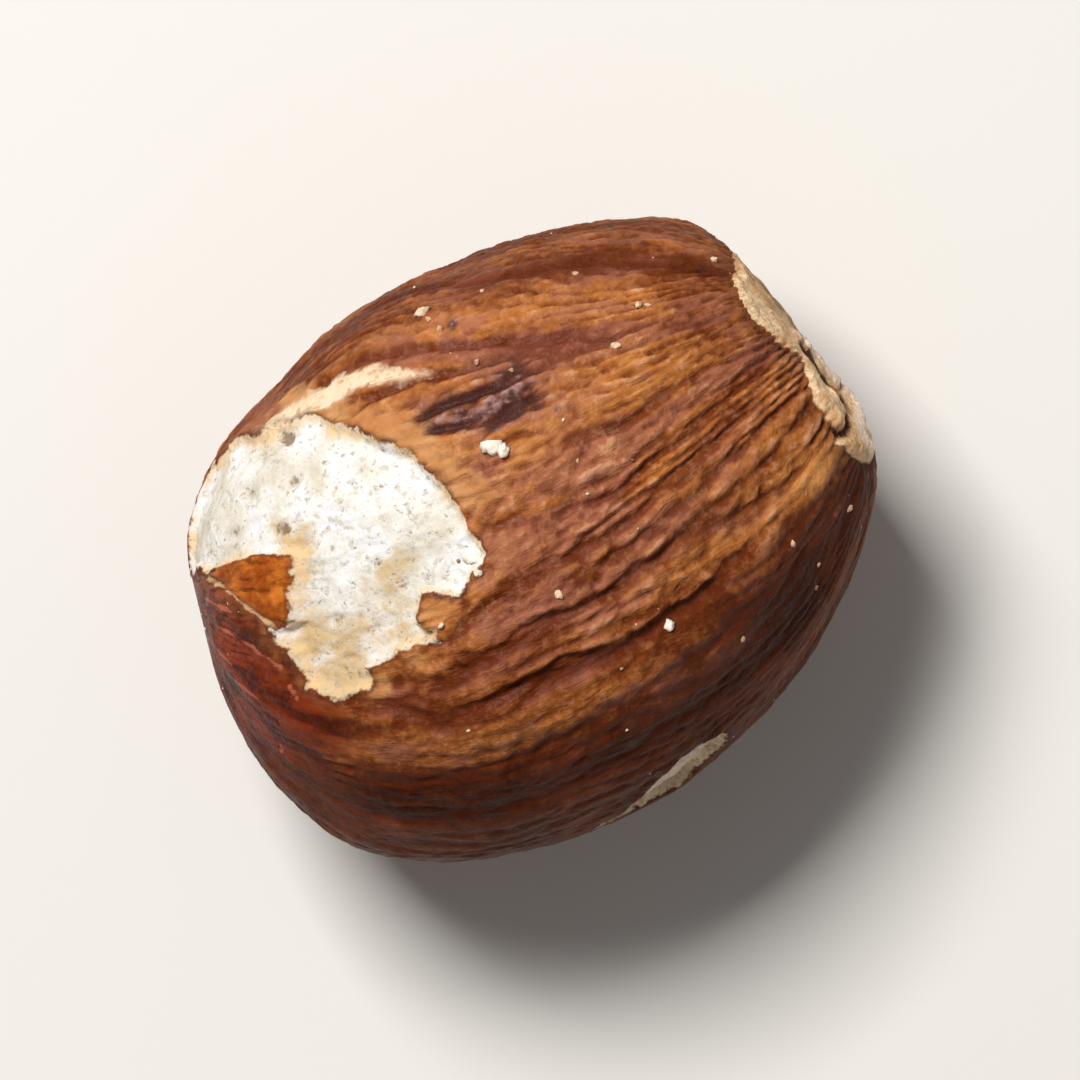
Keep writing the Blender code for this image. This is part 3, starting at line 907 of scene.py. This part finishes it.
def skinFinish():
    # striped skin, bare flesh, torn streaks and corky crust, each laid over the one before
    skin = Finish("skin", hues)
    grain = skin.add("ShaderNodeAttribute", {"attribute_name": "grain"}, out="Vector")
    tone, fold, violet, deepRed, scratch, stain, thin = skin.facts(
        "tone fold violet deepRed scratch stain thin")
    bare, torn, loose, tear, scuff, pits, cream = skin.facts(
        "bare torn loose tear scuff pits cream")
    cap, inner, crack, strand = skin.facts("cap inner crack strand")

    # noises from coarse to fine, about 0.5, and the same about 0
    streaks = skin.noise(skin.stretched(grain, (1, 1, 0.16)), 1.6, 3.0, 0.6, 0.4)
    threads = skin.noise(skin.stretched(grain, (1, 1, 0.25)), 5.0, 2.0, 0.55, 0.5)
    mottle = skin.noise(skin.place, 900.0, 3.0, 0.55)
    dust = skin.noise(skin.place, 5200.0, 2.0, 0.6)
    powder = skin.noise(skin.place, 11000.0, 2.0, 0.6)
    streaky, mottled, dusty, powdery = (noise - 0.5 for noise in (streaks, mottle, dust, powder))
    crease = abs(threads - 0.5).between(0.0, 0.13)

    # striped skin: furrow bottoms dark red-brown, partly painted shade; painted highlights make the
    # crests pale and pinkish
    # fold * 0.14 darkens the ramp in the furrows and lightens it on the crests: painted shade and
    # highlight
    shade = tone + streaky * 0.35 + fold * 0.14 + mottled * 0.3 + dusty * 0.3
    bloom = (violet * 0.35 + streaks + mottled * 0.8).between(0.5, 0.72)
    bloom = bloom * tone.between(0.72, 0.5) * tone.between(0.05, 0.35)
    highlightTint = skin.blend(tone.between(0.15, 0.5), "highlightTint")
    # painted glints: small pale specks spread over the skin
    glintFlecks = (dust + powdery * 0.5).between(0.45, 0.8) * tone.between(0.05, 0.5)
    # painted highlight along the raised folds
    crestHighlight = (fold + dusty * 1.4).between(0.3, 0.95) * tone.between(0.1, 0.5)
    body = skin.laid(
        skin.graded(shade, "stripes"),
        (bloom * 0.6, "bloom"),
        # darker in the furrow bottoms and along the fine bump creases: partly the skin's colour, partly
        # painted shade
        ((-fold).between(0.0, 0.7) * 0.6, "furrow"),
        ((1 - crease) * 0.14, "crease"),
        (glintFlecks * 0.22, highlightTint),
        (crestHighlight * 0.6, highlightTint))

    # deep red zone and its painted highlight streaks, smudge, thin skin, loose flake, torn streak and
    # tear
    wine = skin.blend((streaks + mottled * 0.6).between(0.35, 0.65), "wine")
    glintStreaked = (scratch + dusty * 0.9).between(0.35, 0.8)
    # from the smudge's own dark colour in the fold valleys to pale painted glints on the crests
    ink = skin.blend((fold * 0.9 + dusty * 2.2).between(-0.3, 0.8), "ink")
    stained = stain + streaky * 0.7 + mottled * 1.1 + dusty * 1.0 - fold * 0.25
    ochre = skin.blend(mottle.between(0.35, 0.7), "ochre")
    showing = thin + mottled * 0.9 + streaky * 0.7 + dusty * 0.5 + fold * 0.35
    amber = skin.blend((mottle + dusty * 0.4).between(0.35, 0.7), "amber")
    fibre = skin.blend((crease * 0.3 + dust + mottle).between(0.85, 1.2), "fibre")
    frayed = torn + dusty * 0.25 + streaky * 0.5
    split = (tear + dusty * 0.12).between(0.02, -0.02)
    body = skin.laid(
        body,
        (deepRed * 0.94, wine),
        # painted highlight: pale streaks over the shiny red skin
        (glintStreaked * 0.5, "scratch"),
        (stained.between(0.28, 1.0) * 0.85, ink),
        (showing.between(0.25, 0.95) * 0.75, ochre),
        (loose.between(0.04, -0.04), amber),
        (frayed.between(0.08, -0.06), fibre),
        (split * 0.85, "tear"))

    # bare flesh: chalky white, creamier at its torn rim, with small dark pits
    edge = bare + dusty * 0.2 + mottled * 0.12
    yellowed = (cream + mottled * 2.0 + dusty * 0.9).between(0.15, 1.1)
    clean = 1 - cream.between(0.2, 1.0) * 0.85
    cool = (mottle + powdery * 0.5).between(0.5, 0.38) * clean
    speck = powder.between(0.42, 0.33) * dust.between(0.52, 0.42)
    dents = (pits + powdery * 0.12 + dusty * 0.06).between(0.025, 0.08)
    chalk = skin.laid(
        skin.blend((mottle + dusty * 0.5).between(0.35, 0.7), "chalk"),
        (yellowed * 0.9, "cream"),
        ((edge + mottled * 0.9).between(-0.22, 0.04) * 0.8, "rim"),
        (cool * 0.5, "cool"),
        (dust.between(0.47, 0.34) * 0.45, "dull"),
        (scuff.between(0.1, -0.05) * 0.7, fibre),
        (speck * 0.6, "speck"),
        (dents * 0.8, "dent"))
    fleshHere = edge.between(0.03, -0.03)
    # painted shadow: a dark band just outside the torn edge of the bare flesh
    fringe = edge.between(0.16, 0.0) * (streaks + dusty * 0.5).between(0.3, 0.55)

    # corky crust over the oblique end, browner and cracked towards its middle, with painted shade in its
    # cracks
    barked = (mottle * 0.5 + streaks * 0.5 + dusty * 0.6).between(0.35, 0.62)
    browner = (inner + mottled * 0.4 + dusty * 0.2).between(-0.12, 0.16)
    pores = powder.between(0.44, 0.34) * dust.between(0.56, 0.44)
    crackShading = crack + dusty * 0.5
    cork = skin.laid(
        skin.blend((mottle + dusty * 0.6).between(0.4, 0.66), "cork"),
        (browner * 0.85, skin.blend(barked, "bark")),
        ((strand + dusty * 0.7).between(0.3, 0.7) * 0.8, "strand"),
        (pores * 0.45, "pore"),
        ((1 - crease) * 0.25, "thread"),
        # painted shade in the cracks, darkest along their middles
        (crackShading.between(0.1, 0.45) * 0.7, "crack"),
        (crackShading.between(0.4, 0.7) * 0.9, "deepCrack"))
    crusted = (cap + dusty * 0.025 + mottled * 0.03).between(-0.045, -0.015)
    body = skin.laid(
        body,
        (fringe * 0.75, "fringe"),
        (fleshHere, chalk),
        # painted shadow on the skin just beside the crust's raised edge
        (cap.between(-0.4, -0.05) * 0.5, "besideCrust"),
        (crusted, cork))

    rough = 0.44 + mottled * 0.3 + dusty * 0.3 - deepRed * 0.12
    rough = rough + fleshHere * 0.25 + crusted * 0.3
    height = crease * 0.14 * (1 - fleshHere) + dust * 0.6 + powder * 0.3 + mottle * 0.3
    height = height + crusted * (mottle * 1.2 + dust * 0.4)
    skin.feed({
        "Base Color": body, "Roughness": rough, "Normal": skin.bumped(height, 0.9, 0.00006),
        "IOR": 1.42, "Specular IOR Level": 0.09, "Subsurface Weight": 0.06,
        "Subsurface Radius": (1.0, 0.5, 0.25), "Subsurface Scale": 0.0005})
    return skin.material


def crumbFinish():
    # dry crumbs of flesh, from brown skin dust to chalky white
    crumb = Finish("crumb", hues)
    pale = crumb.facts("pale")[0]
    grain = crumb.noise(crumb.place, 7000.0, 3.0, 0.6)
    crumb.feed({
        "Base Color": crumb.graded(pale + (grain - 0.5) * 0.8, "crumbs"),
        "Roughness": 0.5 + (grain - 0.5) * 0.4, "Normal": crumb.bumped(grain, 0.8, 0.00003),
        "Subsurface Weight": 0.15, "Subsurface Radius": (1.0, 0.7, 0.5),
        "Subsurface Scale": 0.0002})
    return crumb.material


paper = {"half": 0.6, "level": -0.00001, "hue": (226, 224, 220), "roughness": 0.85}


def addFloor():
    # one pale square, a hair below the nut
    half, level = paper["half"], paper["level"]
    mesh = bpy.data.meshes.new("floor")
    corners = [(-half, -half, level), (half, -half, level), (half, half, level), (-half, half, level)]
    mesh.from_pydata(corners, [], [(0, 1, 2, 3)])
    plain = Finish("floor")
    plain.feed({"Base Color": tint(*paper["hue"]), "Roughness": paper["roughness"]})
    mesh.materials.append(plain.material)
    linked("floor", mesh)


# azimuth, elevation, distance, size, watts, colour
lamps = {
    "key": (114, 60, 0.3, 0.1, 1.08, (1.0, 0.98, 0.95)),
    "fill": (10, 30, 0.4, 0.3, 0.06, (1.0, 0.97, 0.94)),
}
roomLight = {"Color": (1.0, 0.98, 0.96, 1), "Strength": 0.17}


def addLight(name, azimuth, elevation, distance, size, watts, colour):
    # a square lamp that looks at the origin
    turn, lift = math.radians(azimuth), math.radians(elevation)
    lamp = bpy.data.lights.new(name, "AREA")
    lamp.size, lamp.energy, lamp.color = size, watts, colour
    thing = linked(name, lamp)
    thing.location = (distance * math.cos(lift) * math.cos(turn),
                      distance * math.cos(lift) * math.sin(turn), distance * math.sin(lift))
    thing.rotation_euler = (math.pi / 2 - lift, 0, turn + math.pi / 2)


def addRoom():
    # an even, weak light from all sides
    world = bpy.data.worlds.new("room")
    world.use_nodes = True
    for name, value in roomLight.items():
        world.node_tree.nodes["Background"].inputs[name].default_value = value
    bpy.context.scene.world = world
    bpy.context.scene.view_settings.view_transform = "Standard"


camera = {"height": 0.32, "lens": 500.0, "clip": 0.005, "roll": -14.0}


def addCamera():
    # straight down, turned so that the nut's axis rises to the right as in the photograph
    data = bpy.data.cameras.new("camera")
    data.lens, data.clip_start = camera["lens"], camera["clip"]
    thing = linked("camera", data)
    thing.location = (0, 0, camera["height"])
    thing.rotation_euler = (0, 0, math.radians(camera["roll"]))
    bpy.context.scene.camera = thing


print("camera, light and floor")
addCamera()
addFloor()
for lampName, lampFacts in lamps.items():
    addLight(lampName, *lampFacts)
addRoom()

print("nut")
nutMesh, planShift = buildKernel()
nutMesh.materials.append(skinFinish())
nut = linked("nut", nutMesh)
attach(nut, "root")
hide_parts("kernel")

print("crumbs")
crumbMesh = buildCrumbs(nutMesh, planShift)
crumbMesh.materials.append(crumbFinish())
strewn = linked("crumbs", crumbMesh)
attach(strewn, "root")
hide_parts("kernel")
